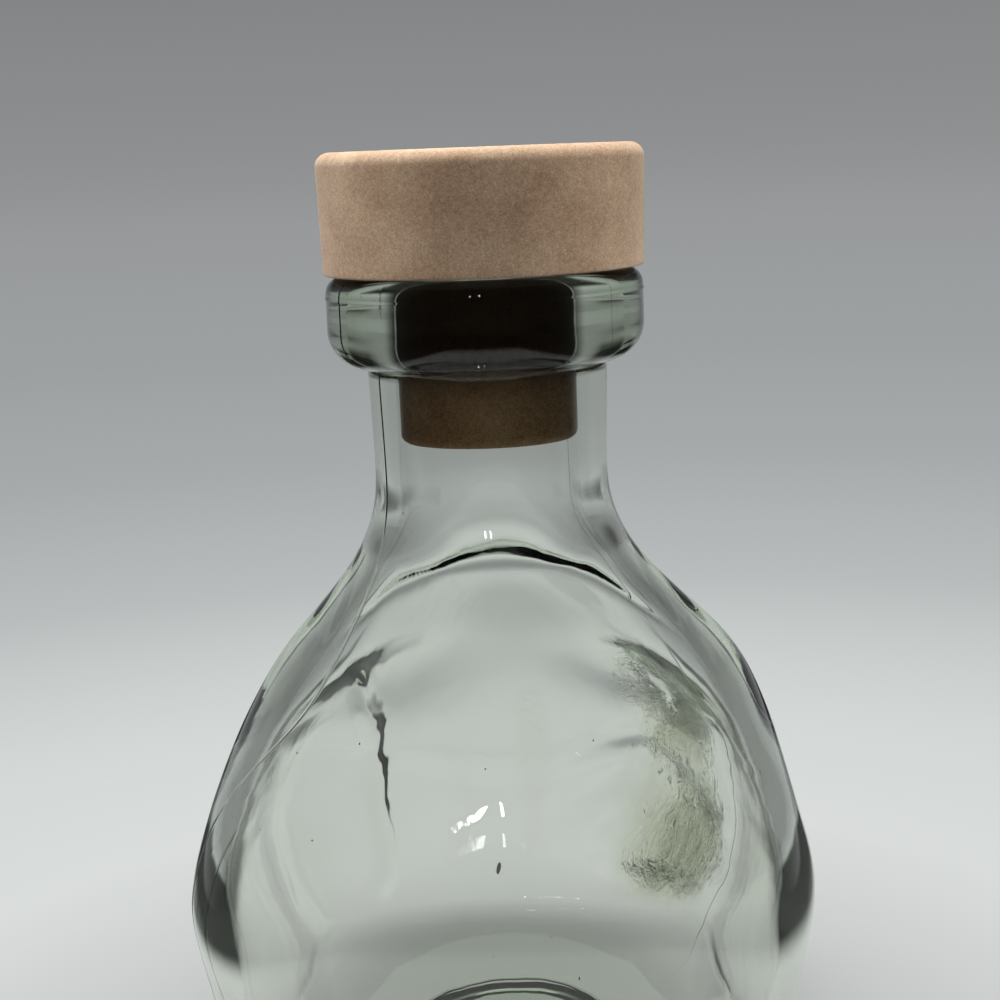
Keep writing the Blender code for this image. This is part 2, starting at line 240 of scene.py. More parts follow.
def add_softbox(name, place, aim, width, height, power, shows):
    """Area lamp at a place, turned towards a point, that gloss shows or doesn't."""
    lamp = bpy.data.lights.new(name, "AREA")
    lamp.shape = "RECTANGLE"
    lamp.size = width
    lamp.size_y = height
    lamp.energy = power
    item = bpy.data.objects.new(name, lamp)
    item.location = place
    turn = np.subtract(aim, place)
    heading = math.atan2(turn[1], turn[0]) - math.pi / 2.0
    pitch = math.atan2(turn[2], math.hypot(turn[0], turn[1])) + math.pi / 2.0
    item.rotation_euler = (pitch, 0.0, heading)
    item.visible_glossy = shows
    item.visible_transmission = shows
    bpy.context.scene.collection.objects.link(item)


add_softbox("softbox_top", (-0.05, 0.05, 0.80), (0.0, 0.0, 0.1), 0.50, 0.50, 9.0, False)
add_softbox("softbox_left", (-0.70, 0.10, 0.35), (0.0, 0.0, 0.12), 0.40, 0.40, 2.3, False)
add_softbox("softbox_right", (0.70, 0.10, 0.35), (0.0, 0.0, 0.12), 0.40, 0.40, 2.7, False)
add_softbox("front_light_left", (-0.15, -1.20, 0.60), (0.0, 0.0, 0.06), 0.035, 0.09, 0.45, True)
add_softbox("front_light_right", (-0.02, -1.20, 0.60), (0.0, 0.0, 0.06), 0.02, 0.10, 0.25, True)


# Camera: near the decanter and level with its top, looking down on it, as a phone held at
# arm's length would be. The shot is turned a little, so the neck leans to the left.

CAMERA_LENS = 67.7
CAMERA_SENSOR = 36.0
CAMERA_CLIP = 10.0 * MM
CAMERA_DISTANCE = 308.2 * MM
CAMERA_HEIGHT = 156.5 * MM
CAMERA_SIDESTEP = 1.23 * MM
CAMERA_DIP = math.radians(10.5)
CAMERA_TURN = math.radians(2.0)
CAMERA_ROLL = math.radians(-2.2)

lens = bpy.data.cameras.new("camera")
lens.lens = CAMERA_LENS
lens.sensor_width = CAMERA_SENSOR
lens.clip_start = CAMERA_CLIP
camera = bpy.data.objects.new("camera", lens)
camera.location = (
    CAMERA_SIDESTEP * math.cos(CAMERA_TURN) + CAMERA_DISTANCE * math.sin(CAMERA_TURN),
    CAMERA_SIDESTEP * math.sin(CAMERA_TURN) - CAMERA_DISTANCE * math.cos(CAMERA_TURN),
    CAMERA_HEIGHT,
)
aim = Matrix.Rotation(CAMERA_TURN, 3, "Z") @ Matrix.Rotation(math.pi / 2.0 - CAMERA_DIP, 3, "X")
camera.rotation_euler = (aim @ Matrix.Rotation(CAMERA_ROLL, 3, "Z")).to_euler()
bpy.context.scene.collection.objects.link(camera)
bpy.context.scene.camera = camera
bpy.context.scene.view_settings.view_transform = "Standard"


# Decanter: one piece of clear, faintly green soda-lime glass, blown into a two-part mould.
# Its outside takes the mould's shape: four arched panels between four lobed corners. Its
# inside is only air-blown, so it follows the outside loosely and the wall varies.

# Heights of the body's sections, and how far a face and a corner stand off the axis at each.
BODY_LEVELS = np.array((0.0, 26.9, 40.5, 51.3, 59.5, 68.1, 75.7, 85.5, 93.5, 102.8, 122.7)) * MM
FACE_REACH = np.array((42.0, 48.3, 50.1, 47.6, 45.0, 42.9, 38.6, 28.6, 22.1, 19.2, 19.7)) * MM
CORNER_REACH = np.array((47.5, 56.1, 60.0, 55.3, 45.8, 34.9, 29.2, 23.5, 20.4, 19.2, 19.7)) * MM
PANEL_EDGE = math.radians(25.0)
HOLLOW_START = math.radians(2.0)
HOLLOW_FULL = math.radians(38.0)
HOLLOW_LEVELS = (51.3 * MM, 68.1 * MM)
FLAT_LEVELS = (59.5 * MM, 85.5 * MM)
# How soft the cooling glass drew the corners, in degrees round, from the body to the shoulder.
BODY_SOFT = 7.0
SHOULDER_SOFT = 12.0
SOFT_LEVELS = (48.0 * MM, 62.0 * MM)
SOFT_RISE = 2.5 * MM
HEEL_HEIGHT = 9.0 * MM
REST_FACE = 33.0 * MM
REST_CORNER = 35.0 * MM
RIM_Z = 137.5 * MM
BORE_RADIUS = 14.9 * MM
AROUND = 256
FINE_STEP = 0.5 * MM
TABLE_TOP = 145.0 * MM

angles = np.arange(AROUND) * 2.0 * math.pi / AROUND
levels = np.arange(0.0, TABLE_TOP, FINE_STEP)
EIGHTH_TURN = math.pi / 4.0


def ramp(value, start, end):
    """Smooth step from 0 at start to 1 at end."""
    share = np.clip((value - start) / (end - start), 0.0, 1.0)
    return share * share * (3.0 - 2.0 * share)


def mix(low, high, share):
    """Value that runs from low to high as share runs from 0 to 1."""
    return low * (1.0 - share) + high * share


def smooth_curve(heights, reaches, at):
    """Monotone cubic through the stations, read at many heights."""
    gaps = np.diff(heights)
    slopes = np.diff(reaches) / gaps
    tangents = np.concatenate(([slopes[0]], np.zeros(len(gaps) - 1), [slopes[-1]]))
    for i in range(1, len(gaps)):
        if slopes[i - 1] * slopes[i] > 0.0:
            below = gaps[i] * 2.0 + gaps[i - 1]
            above = gaps[i] + gaps[i - 1] * 2.0
            tangents[i] = (below + above) / (below / slopes[i - 1] + above / slopes[i])
    i = np.clip(np.searchsorted(heights, at) - 1, 0, len(gaps) - 1)
    t = np.clip((at - heights[i]) / gaps[i], 0.0, 1.0)
    start = (1.0 + 2.0 * t) * (1.0 - t) ** 2 * reaches[i] + t * (1.0 - t) ** 2 * gaps[i] * tangents[i]
    end = t ** 2 * (3.0 - 2.0 * t) * reaches[i + 1] + t ** 2 * (t - 1.0) * gaps[i] * tangents[i + 1]
    return start + end


def soften(values, spread, axis):
    """Blur a table of values along one axis, wrapping round the angles."""
    reach = int(spread * 3.0) + 1
    offsets = np.arange(-reach, reach + 1)
    weights = np.exp(-0.5 * (offsets / spread) ** 2)
    weights /= weights.sum()
    pad = [(0, 0), (0, 0)]
    pad[axis] = (reach, reach)
    wide = np.pad(values, pad, mode="wrap" if axis == 1 else "edge")
    length = values.shape[axis]
    return sum(w * np.take(wide, np.arange(length) + reach + o, axis) for w, o in zip(weights, offsets))


def side_table():
    """Outer reach at every height and angle, as the cooling glass drew it soft, before the heel."""
    z = levels[:, None]
    from_face = np.abs((angles[None, :] + EIGHTH_TURN) % (EIGHTH_TURN * 2.0) - EIGHTH_TURN)
    face = smooth_curve(BODY_LEVELS, FACE_REACH, levels)[:, None]
    corner = smooth_curve(BODY_LEVELS, CORNER_REACH, levels)[:, None]
    flatness = 1.0 - ramp(z, *FLAT_LEVELS)
    panel = face * mix(1.0, 1.0 / np.cos(from_face), flatness)
    sharp_corner = face * mix(1.0, 1.0 / math.cos(EIGHTH_TURN), flatness)
    round_share = (np.maximum(from_face - PANEL_EDGE, 0.0) / (EIGHTH_TURN - PANEL_EDGE)) ** 2
    lobe = panel - (sharp_corner - corner) * round_share
    hollow = mix(panel, corner, ramp(from_face, HOLLOW_START, HOLLOW_FULL))
    table = soften(mix(lobe, hollow, ramp(z, *HOLLOW_LEVELS)), SOFT_RISE / FINE_STEP, 0)
    body = soften(table, BODY_SOFT / 360.0 * AROUND, 1)
    shoulder = soften(table, SHOULDER_SOFT / 360.0 * AROUND, 1)
    rest = mix(REST_FACE, REST_CORNER, round_share)
    return mix(body, shoulder, ramp(z, *SOFT_LEVELS)), rest


outer_side, rest_reach = side_table()
short = 1.0 - np.clip(levels / HEEL_HEIGHT, 0.0, 1.0)
outer_table = mix(rest_reach, outer_side, np.sqrt(1.0 - short ** 2)[:, None])


def read_table(table, height):
    """Reach at every angle at one height."""
    place = height / FINE_STEP
    low = int(math.floor(place))
    return mix(table[low], table[low + 1], place - low)


def arc(centre, radii, start, end, steps):
    """Points on an ellipse's arc in the (radius, height) plane, angles up from the level."""
    turn = np.linspace(math.radians(start), math.radians(end), steps + 1)
    return [(centre[0] + radii[0] * math.cos(a), centre[1] + radii[1] * math.sin(a)) for a in turn]


# Underside: a domed hollow, then the resting ring and the heel.
PUSH_UP_RADIUS = 19.0 * MM
PUSH_UP_HEIGHT = 4.5 * MM
PUSH_UP_SHARES = (0.05, 0.15, 0.3, 0.45, 0.6, 0.7, 0.78, 0.85, 0.91, 0.95, 0.98)
HEEL_TURNS = np.radians(np.linspace(8.0, 90.0, 14))
RING_STEP = 1.0 * MM
SIDE_TOP = 122.5 * MM

rings = []
for share in PUSH_UP_SHARES:
    rings.append((np.full(AROUND, PUSH_UP_RADIUS * share), PUSH_UP_HEIGHT * (1.0 - share ** 3)))
rings.append((np.full(AROUND, PUSH_UP_RADIUS + 0.15 * MM), 0.08 * MM))
rings.append((np.full(AROUND, PUSH_UP_RADIUS + 0.6 * MM), 0.0))
rings.append((mix(PUSH_UP_RADIUS, outer_table[0], 0.5), 0.0))
rings.append((outer_table[0] - 0.5 * MM, 0.0))
for turn in HEEL_TURNS:
    height = HEEL_HEIGHT * (1.0 - math.cos(turn))
    rings.append((read_table(outer_table, height), height))
for height in np.arange(HEEL_HEIGHT + RING_STEP, SIDE_TOP, RING_STEP):
    rings.append((read_table(outer_table, height), height))

# Finish: the bead round the mouth, with the fine parting line under its top round, and a
# rounded lip down into the bore.
BEAD_Z = 122.7 * MM
BEAD_RADIUS = 25.9 * MM
BEAD_LOWER_ROUND = 6.0 * MM
BEAD_TOP_ROUND = 2.8 * MM
MOUTH_ROUND = 1.0 * MM
PARTING_Z = 134.1 * MM
PARTING_RISE = 0.12 * MM
PARTING_FOOT = 0.35 * MM
PARTING_CREST = 0.08 * MM
BEAD_SIDE_END = 3.0 * MM
BEAD_ROOT_RADIUS = 20.1 * MM

bead = [(BEAD_ROOT_RADIUS, BEAD_Z)]
bead += arc((BEAD_RADIUS - BEAD_LOWER_ROUND, BEAD_Z + BEAD_LOWER_ROUND),
            (BEAD_LOWER_ROUND, BEAD_LOWER_ROUND), -75.0, 0.0, 14)
bead += [(BEAD_RADIUS, PARTING_Z - BEAD_SIDE_END),
         (BEAD_RADIUS, PARTING_Z - PARTING_FOOT),
         (BEAD_RADIUS + PARTING_RISE, PARTING_Z - PARTING_CREST),
         (BEAD_RADIUS + PARTING_RISE, PARTING_Z + PARTING_CREST),
         (BEAD_RADIUS, PARTING_Z + PARTING_FOOT)]
bead += arc((BEAD_RADIUS - BEAD_TOP_ROUND, RIM_Z - BEAD_TOP_ROUND),
            (BEAD_TOP_ROUND, BEAD_TOP_ROUND), 0.0, 90.0, 12)
bead += arc((BORE_RADIUS + MOUTH_ROUND, RIM_Z - MOUTH_ROUND),
            (MOUTH_ROUND, MOUTH_ROUND), 90.0, 180.0, 6)
rings += [(np.full(AROUND, radius), height) for radius, height in bead]
outside_rings = len(rings)

# Inside: down the bore, then one wall inside the outer skin, and in over the floor. The
# blown inside is rounder than the mould, so the corners are thick.
BODY_WALL = 4.5 * MM
CORNER_BLUR = 9.0
INNER_BLUR_RISE = 4.0 * MM
WALL_BLUR_RISE = 2.0 * MM
BORE_BLEND = (90.0 * MM, 105.0 * MM)
INNER_FLOOR = ((0.985, 11.2), (0.95, 9.4), (0.88, 8.0), (0.78, 7.6),
               (0.6, 8.2), (0.4, 9.2), (0.2, 9.6), (0.05, 9.7))

# The far shoulder has a fold all along it, where the glass sagged in. It arches over the panel.
ARCH_TOP = 86.0 * MM
ARCH_DROP = 6.0 * MM
ARCH_HALF = math.radians(70.0)
ARCH_END = 1.3
ARCH_WIDTH = 2.4 * MM
ARCH_RISE = 1.5 * MM

# The far left corner has an upright fold. Its path is heights and places sideways, in mm.
FOLD_PATH = ((16.0, 30.0, 40.0, 50.0, 58.0, 66.0), (-29.5, -28.1, -25.6, -24.3, -25.6, -29.0))
FOLD_FOOT = (14.0 * MM, 24.0 * MM)
FOLD_HEAD = (58.0 * MM, 66.0 * MM)
FOLD_WIDTH = 2.0 * MM
FOLD_RISE = 1.9 * MM
FOLD_TOP = 90.0 * MM

# The far right corner is thick and uneven from the floor to the shoulder.
CORNER_TURN = math.radians(140.0)
CORNER_SPREAD = math.radians(15.0)
CORNER_RISE = 2.4 * MM
CORNER_FOOT = (16.0 * MM, 26.0 * MM)
CORNER_HEAD = (52.0 * MM, 66.0 * MM)
CORNER_WANDER = 0.08
CORNER_RAGGED = 0.35


def bump(distance, width):
    """Smooth hump of height 1 and a given half width."""
    return np.exp(-(distance / width) ** 2)


def between(height, foot, head):
    """1 between two heights, with a smooth start over foot and a smooth end over head."""
    return ramp(height, *foot) * (1.0 - ramp(height, *head))


def wall_folds(turn, height):
    """Extra thickness of the far wall along its arched fold and in its right corner."""
    past_far = turn - math.pi
    arch_z = ARCH_TOP - ARCH_DROP * (past_far / ARCH_HALF) ** 2
    arch = ARCH_RISE * bump(height - arch_z, ARCH_WIDTH)
    arch = arch * (1.0 - ramp(np.abs(past_far), ARCH_HALF, ARCH_HALF * ARCH_END))
    wander = CORNER_WANDER * np.sin(height / MM * 0.4)
    ragged = CORNER_RAGGED * np.sin(height / MM * 0.55) * np.sin(turn * 11.0)
    corner = CORNER_RISE * bump(turn - CORNER_TURN + wander, CORNER_SPREAD)
    return arch + corner * between(height, CORNER_FOOT, CORNER_HEAD) * (1.0 + ragged)


def upright_fold(turn, reach, height):
    """Extra thickness of the far wall along the far left corner, on columns fine enough for it."""
    centre = np.interp(height / MM, *FOLD_PATH) * MM
    fold = FOLD_RISE * bump(reach * np.sin(turn) - centre, FOLD_WIDTH)
    return fold * between(height, FOLD_FOOT, FOLD_HEAD) * (np.cos(turn) < 0.0)


inner_form = soften(soften(outer_side, CORNER_BLUR / 360.0 * AROUND, 1), INNER_BLUR_RISE / FINE_STEP, 0)
inner_slope = np.gradient(inner_form, FINE_STEP, axis=0)
inner_table = soften(inner_form - BODY_WALL * np.sqrt(1.0 + inner_slope ** 2), WALL_BLUR_RISE / FINE_STEP, 0)
inner_table = inner_table - wall_folds(angles[None, :], levels[:, None])
inner_table = mix(inner_table, BORE_RADIUS, ramp(levels, *BORE_BLEND)[:, None])

# The rings lie closer together along the arched fold.
bore_levels = np.arange(133.5, 105.0, -4.0) * MM
neck_levels = np.arange(104.0, 92.0, -1.0)
fold_levels = np.arange(92.0, 74.0, -0.5)
body_levels = np.arange(74.0, 13.5, -1.0)
for level in bore_levels:
    rings.append((np.full(AROUND, BORE_RADIUS), level))
for level in np.concatenate((neck_levels, fold_levels, body_levels)) * MM:
    rings.append((read_table(inner_table, level), level))
floor_reach = rings[-1][0]
for share, level in INNER_FLOOR:
    rings.append((floor_reach * share, level * MM))

# Lean: the shoulder has settled a little to the right as it cooled.
LEAN = 1.2 * MM
LEAN_Z = 74.0 * MM
LEAN_SPREAD = 13.0 * MM

# Mould seam: a fine ridge up both sides of the outside, where the two halves of the mould meet.
SEAM_BEARINGS = (math.radians(-60.0), math.radians(120.0))
SEAM_HALF = 0.35 * MM
SEAM_RISE = 0.09 * MM
SEAM_COLUMNS = np.radians((-1.1, -0.8, -0.6, -0.45, -0.3, -0.15, 0.0, 0.15, 0.3, 0.45, 0.6, 0.8, 1.1))
FOLD_COLUMNS = np.radians(np.arange(206.0, 230.0, 0.6))

seam_columns = [(bearing + SEAM_COLUMNS) % (2.0 * math.pi) for bearing in SEAM_BEARINGS]
columns = np.concatenate([angles, FOLD_COLUMNS] + seam_columns)
columns = np.unique(np.round(columns, 5))
ROUND = len(columns)


def seam_ridge(reach):
    """Height of the seam's ridge at every column of a ring."""
    ridge = np.zeros(ROUND)
    for bearing in SEAM_BEARINGS:
        off = np.abs((columns - bearing + math.pi) % (2.0 * math.pi) - math.pi) * reach / SEAM_HALF
        ridge += SEAM_RISE * np.maximum(1.0 - off ** 2, 0.0) ** 2
    return ridge


def skin(name, rings):
    """Closed mesh over rings of reaches and heights, from the underside round to the floor."""
    points = []
    for number, (reach, height) in enumerate(rings):
        reach = np.interp(columns, angles, reach, period=2.0 * math.pi)
        if number < outside_rings:
            reach = reach + seam_ridge(reach)
        elif height < FOLD_TOP:
            reach = reach - upright_fold(columns, reach, height)
        x = reach * np.sin(columns) + LEAN * bump(height - LEAN_Z, LEAN_SPREAD)
        y = -reach * np.cos(columns)
        points.append(np.column_stack((x, y, np.full(ROUND, height))))
    base = np.arange(ROUND)
    ahead = (base + 1) % ROUND
    faces = []
    for i in range(len(rings) - 1):
        low = i * ROUND
        high = low + ROUND
        faces += np.column_stack((low + base, low + ahead, high + ahead, high + base)).tolist()
    faces.append(((len(rings) - 1) * ROUND + base).tolist())
    faces.append(base[::-1].tolist())
    mesh = bpy.data.meshes.new(name)
    mesh.from_pydata(np.concatenate(points).tolist(), [], faces)
    mesh.shade_smooth()
    item = bpy.data.objects.new(name, mesh)
    bpy.context.scene.collection.objects.link(item)
    return item


# Clear glass, IOR 1.52, faintly olive in the thick places. Its skin is wavy, with the waves
# drawn out upwards. Where the hot glass met the cold mould first, it is finely rippled.
GLASS_IOR = 1.52
GLASS_TINT = "ffffff"
THICK_TINT = (0.70, 0.79, 0.64, 1.0)
THICK_DENSITY = 44.0
WAVE_PITCH = 9.0 * MM
WAVE_STRETCH = 0.28
WAVE_HEIGHT = 0.08 * MM
CHILL_PITCH = 1.3 * MM
CHILL_STRETCH = 0.45
CHILL_HEIGHT = 1.1 * MM
# The ripples are drawn coarser and deeper than the real ones, so that they show. Each patch is
# its bearing, height, half width, half height and how strongly it is rippled.
CHILL_PATCHES = ((math.radians(142.0), 47.0 * MM, math.radians(12.0), 14.0 * MM, 1.0),
                 (math.radians(138.0), 24.0 * MM, math.radians(12.0), 10.0 * MM, 1.0),
                 (math.radians(9.0), 64.0 * MM, math.radians(4.0), 11.0 * MM, 0.12),
                 (math.radians(-8.0), 62.0 * MM, math.radians(3.5), 7.0 * MM, 0.1))
CHILL_CLOUD = 11.0 * MM
CHILL_BREAK = (0.38, 0.52)
CHILL_TINT = "e2e3cf"


def mark_chill(item):
    """Write how rippled the outer skin is, 0 to 1, as an attribute of the mesh's points."""
    mesh = item.data
    place = np.empty(len(mesh.vertices) * 3)
    mesh.vertices.foreach_get("co", place)
    x, y, z = place.reshape(-1, 3).T
    turn = np.arctan2(x, -y)
    chill = np.zeros(len(z))
    for patch_turn, patch_z, spread, rise, amount in CHILL_PATCHES:
        off = (turn - patch_turn + math.pi) % (2.0 * math.pi) - math.pi
        chill = np.maximum(chill, amount * np.exp(-(off / spread) ** 4 - ((z - patch_z) / rise) ** 4))
    layer = mesh.attributes.new("chill", "FLOAT", "POINT")
    layer.data.foreach_set("value", chill)


glass = bpy.data.materials.new("clear_soda_lime_glass")
tree, output = new_tree(glass)
place = add_node(tree, "ShaderNodeTexCoord")
drawn = add_node(tree, "ShaderNodeMapping", values={"Scale": (1.0, 1.0, WAVE_STRETCH)},
                 links={"Vector": place.outputs["Object"]})
wave = add_node(tree, "ShaderNodeTexNoise", values={"Scale": 1.0 / WAVE_PITCH, "Detail": 2.0, "Roughness": 0.45},
                links={"Vector": drawn.outputs["Vector"]})
streaked = add_node(tree, "ShaderNodeMapping", values={"Scale": (1.0, 1.0, CHILL_STRETCH)},
                    links={"Vector": place.outputs["Object"]})
ripple = add_node(tree, "ShaderNodeTexNoise",
                  values={"Scale": 1.0 / CHILL_PITCH, "Detail": 3.0, "Roughness": 0.6, "Distortion": 0.8},
                  links={"Vector": streaked.outputs["Vector"]})
chill = add_node(tree, "ShaderNodeAttribute", {"attribute_name": "chill"})
cloud = add_node(tree, "ShaderNodeTexNoise", values={"Scale": 1.0 / CHILL_CLOUD, "Detail": 3.0},
                 links={"Vector": streaked.outputs["Vector"]})
broken = add_node(tree, "ShaderNodeMapRange", {"interpolation_type": "SMOOTHSTEP"},
                  {"From Min": CHILL_BREAK[0], "From Max": CHILL_BREAK[1]}, {"Value": cloud.outputs["Fac"]})
rough = add_node(tree, "ShaderNodeMath", {"operation": "MULTIPLY"},
                 links={0: chill.outputs["Fac"], 1: broken.outputs["Result"]})
# The rippled patches are tinted a darker olive-grey.
patch_tinted = add_node(tree, "ShaderNodeMix", {"data_type": "RGBA"},
                 {6: (*linear(GLASS_TINT), 1.0), 7: (*linear(CHILL_TINT), 1.0)}, {"Factor": rough.outputs[0]})
wavy = add_node(tree, "ShaderNodeBump", values={"Strength": 1.0, "Distance": WAVE_HEIGHT},
                links={"Height": wave.outputs["Fac"]})
rippled = add_node(tree, "ShaderNodeBump", values={"Distance": CHILL_HEIGHT},
                   links={"Strength": rough.outputs[0], "Height": ripple.outputs["Fac"],
                          "Normal": wavy.outputs["Normal"]})
surface = add_node(tree, "ShaderNodeBsdfPrincipled",
                   values={"Roughness": 0.0, "IOR": GLASS_IOR, "Transmission Weight": 1.0},
                   links={"Base Color": patch_tinted.outputs[2], "Normal": rippled.outputs["Normal"]})
tint = add_node(tree, "ShaderNodeVolumeAbsorption", values={"Color": THICK_TINT, "Density": THICK_DENSITY})
tree.links.new(surface.outputs[0], output.inputs["Surface"])
tree.links.new(tint.outputs[0], output.inputs["Volume"])

decanter_body = skin("decanter_body", rings)
decanter_body.data.materials.append(glass)
mark_chill(decanter_body)
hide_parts("decanter_glass")
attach(decanter_body, "glass")


# Specks: tiny grains of unmelted sand and iron, frozen in the wall wherever the melt left them,
# and one longer dash low in the near wall. They are drawn out upwards with the glass.

SPECK_DENSITY = 420.0
SPECK_RADIUS = 0.13 * MM
SPECK_DEPTH = 1.3 * MM
SPECK_LEAST = (0.5, 0.5, 0.8)
SPECK_MOST = (1.1, 1.1, 2.4)
SPECK_SEED = 7

# Iron speck: nearly black, with rusty brown patches.
RUST_SIZE = 0.25 * MM
IRON_STOPS = ((0.35, "1a1714"), (0.7, "43362a"))

iron = bpy.data.materials.new("iron_speck")
tree, output = new_tree(iron)
place = add_node(tree, "ShaderNodeTexCoord")
rust = add_node(tree, "ShaderNodeTexNoise", values={"Scale": 1.0 / RUST_SIZE},
                links={"Vector": place.outputs["Object"]})
tone = add_node(tree, "ShaderNodeValToRGB", links={"Fac": rust.outputs["Fac"]})
colour_stops(tone, IRON_STOPS)
surface = add_node(tree, "ShaderNodeBsdfPrincipled", values={"Roughness": 0.6},
                   links={"Base Color": tone.outputs["Color"]})
tree.links.new(surface.outputs[0], output.inputs["Surface"])

scatter = bpy.data.node_groups.new("wall_specks", "GeometryNodeTree")
sockets = {}
for name, kind in (("Skin", "NodeSocketGeometry"), ("Density", "NodeSocketFloat"),
                   ("Radius", "NodeSocketFloat"), ("Depth", "NodeSocketFloat"), ("Seed", "NodeSocketInt")):
    sockets[name] = scatter.interface.new_socket(name, in_out="INPUT", socket_type=kind).identifier
scatter.interface.new_socket("Specks", in_out="OUTPUT", socket_type="NodeSocketGeometry")
given = add_node(scatter, "NodeGroupInput")
spread = add_node(scatter, "GeometryNodeDistributePointsOnFaces",
                  links={"Mesh": given.outputs["Skin"], "Density": given.outputs["Density"],
                         "Seed": given.outputs["Seed"]})
inward = add_node(scatter, "ShaderNodeMath", {"operation": "MULTIPLY"}, {1: -1.0}, {0: given.outputs["Depth"]})
sink = add_node(scatter, "ShaderNodeVectorMath", {"operation": "SCALE"},
                links={0: spread.outputs["Normal"], "Scale": inward.outputs[0]})
sunk = add_node(scatter, "GeometryNodeSetPosition",
                links={"Geometry": spread.outputs["Points"], "Offset": sink.outputs[0]})
grain = add_node(scatter, "GeometryNodeMeshIcoSphere", values={"Subdivisions": 2},
                 links={"Radius": given.outputs["Radius"]})
sizes = add_node(scatter, "FunctionNodeRandomValue", {"data_type": "FLOAT_VECTOR"}, {0: SPECK_LEAST, 1: SPECK_MOST},
                 {"Seed": given.outputs["Seed"]})
placed = add_node(scatter, "GeometryNodeInstanceOnPoints",
                  links={"Points": sunk.outputs["Geometry"], "Instance": grain.outputs["Mesh"],
                         "Scale": sizes.outputs[0]})
real = add_node(scatter, "GeometryNodeRealizeInstances", links={0: placed.outputs["Instances"]})
painted = add_node(scatter, "GeometryNodeSetMaterial", values={"Material": iron},
                   links={"Geometry": real.outputs[0]})
add_node(scatter, "NodeGroupOutput", links={0: painted.outputs[0]})

carrier = bpy.data.objects.new("speck_carrier", decanter_body.data)
bpy.context.scene.collection.objects.link(carrier)
spreader = carrier.modifiers.new("specks", "NODES")
spreader.node_group = scatter
for name, value in (("Density", SPECK_DENSITY), ("Radius", SPECK_RADIUS),
                    ("Depth", SPECK_DEPTH), ("Seed", SPECK_SEED)):
    spreader[sockets[name]] = value
ready = carrier.evaluated_get(bpy.context.evaluated_depsgraph_get())
mesh = bpy.data.meshes.new_from_object(ready)
bpy.data.objects.remove(carrier)

DASH_PLACE = (0.6 * MM, -46.2 * MM, 53.0 * MM)
DASH_SIZE = (0.30 * MM, 0.25 * MM, 0.95 * MM)
DASH_LEAN = math.radians(12.0)
form = bmesh.new()
form.from_mesh(mesh)
shape = Matrix.Translation(DASH_PLACE) @ Matrix.Rotation(DASH_LEAN, 4, "Y") @ Matrix.Diagonal((*DASH_SIZE, 1.0))
bmesh.ops.create_icosphere(form, subdivisions=3, radius=1.0, matrix=shape)
form.to_mesh(mesh)
form.free()
mesh.shade_smooth()
wall_specks = bpy.data.objects.new("wall_specks", mesh)
bpy.context.scene.collection.objects.link(wall_specks)
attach(wall_specks, "glass")


# Stopper head: a thick disc of fine-grained cork composite, turned and sanded, with a softly
# rounded top edge and a crisp lower one. It stands a little proud of the bead it sits on.

HEAD_RADIUS = 26.5 * MM
HEAD_UNDER = 137.8 * MM
HEAD_TOP = 157.3 * MM
HEAD_TAPER = 0.4 * MM
HEAD_TOP_ROUND = 2.3 * MM
HEAD_LOWER_ROUND = 0.4 * MM


def turned(name, profile, around=192):
    """Closed solid turned round the axis from a profile of (radius, height), base centre first."""
    form = bmesh.new()
    turns = np.arange(around) * 2.0 * math.pi / around
    rows = []
    for radius, height in profile:
        rows.append([form.verts.new((radius * math.sin(a), -radius * math.cos(a), height)) for a in turns])
    for low, high in zip(rows, rows[1:]):
        for i in range(around):
            form.faces.new((low[i], low[(i + 1) % around], high[(i + 1) % around], high[i]))
    form.faces.new(rows[0][::-1])
    form.faces.new(rows[-1])
    mesh = bpy.data.meshes.new(name)
    form.to_mesh(mesh)
    form.free()
    mesh.shade_smooth()
    item = bpy.data.objects.new(name, mesh)
    bpy.context.scene.collection.objects.link(item)
    return item


# Cork composite: fine cork dust pressed with a binder and sanded. It is tan, with a grain of
# about 0.2 mm, drawn at 0.28 mm so that it shows, a few darker and paler specks, and clouds
# where the dust is packed unevenly.
GRAIN_SIZE = 0.28 * MM
GRAIN_SHARE = 0.55
SPECK_SIZE = 0.9 * MM
SPECK_SHARE = 0.25
CLOUD_SIZE = 9.0 * MM
CLOUD_SHARE = 0.30
TONE_SPAN = (0.34, 0.76)
GRAIN_DEPTH = 0.05 * MM
COMPOSITE_STOPS = ((0.0, "8a6a4c"), (0.38, "b5967a"), (0.55, "c0a285"), (1.0, "e0c8ac"))


